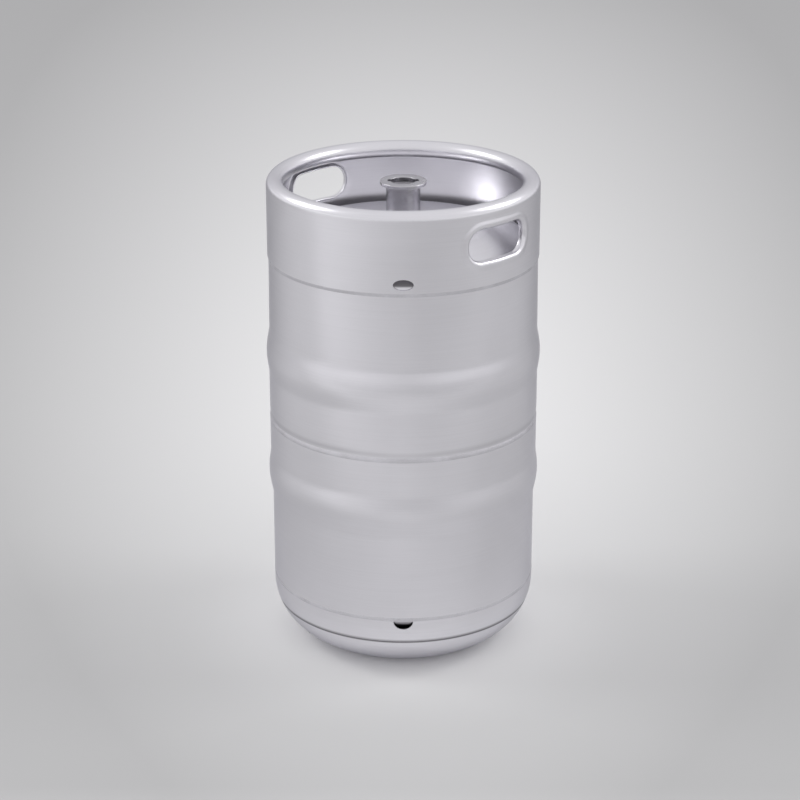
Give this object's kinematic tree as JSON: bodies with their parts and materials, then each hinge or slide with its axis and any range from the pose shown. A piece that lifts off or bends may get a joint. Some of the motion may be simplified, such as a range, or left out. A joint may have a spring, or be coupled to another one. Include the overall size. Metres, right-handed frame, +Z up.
{
  "type": "beer keg",
  "caption": "Tall stainless beer keg: ribbed shell, rolled top ring with two handle openings, rounded foot ring and a neck with a spring-loaded twin valve.",
  "frame": {"origin": "middle of the foot ring, on the ground", "axes": "+Z up along the keg's axis; the two handle openings are on +X and -X"},
  "size_m": [0.3362, 0.3362, 0.594],
  "materials": {
    "satin_stainless": "satin",
    "weld_bead": "pickled weld",
    "turned_stainless": "machined",
    "spring_wire": "drawn wire",
    "black_rubber": "matt"
  },
  "bodies": {
    "keg": {"upper_shell": "satin_stainless", "lower_shell": "satin_stainless", "girth_weld": "weld_bead", "upper_chime": "satin_stainless", "lower_chime": "satin_stainless", "upper_chime_weld": "weld_bead", "lower_chime_weld": "weld_bead", "keg_neck": "turned_stainless", "neck_weld": "weld_bead", "spear_body": "turned_stainless", "neck_gasket": "black_rubber", "lock_ring": "spring_wire", "spring_cage": "turned_stainless", "main_spring": "spring_wire"},
    "gas_valve": {"gas_seal": "black_rubber", "gas_seal_insert": "spring_wire", "valve_cup": "turned_stainless", "down_tube": "satin_stainless", "ball_spring": "spring_wire"},
    "beer_valve": {"valve_ball": "black_rubber"}
  },
  "joints": [
    {"name": "gas_valve_slide", "type": "slide", "parent": "keg", "child": "gas_valve", "axis": [0, 0, -1], "range_m": [0, 0.006], "stiffness_N_per_m": 4000, "springref_m": -0.006, "deforming": ["main_spring"]},
    {"name": "beer_valve_slide", "type": "slide", "parent": "gas_valve", "child": "beer_valve", "axis": [0, 0, -1], "range_m": [0, 0.004], "stiffness_N_per_m": 800, "springref_m": -0.004, "deforming": ["ball_spring"]}
  ]
}
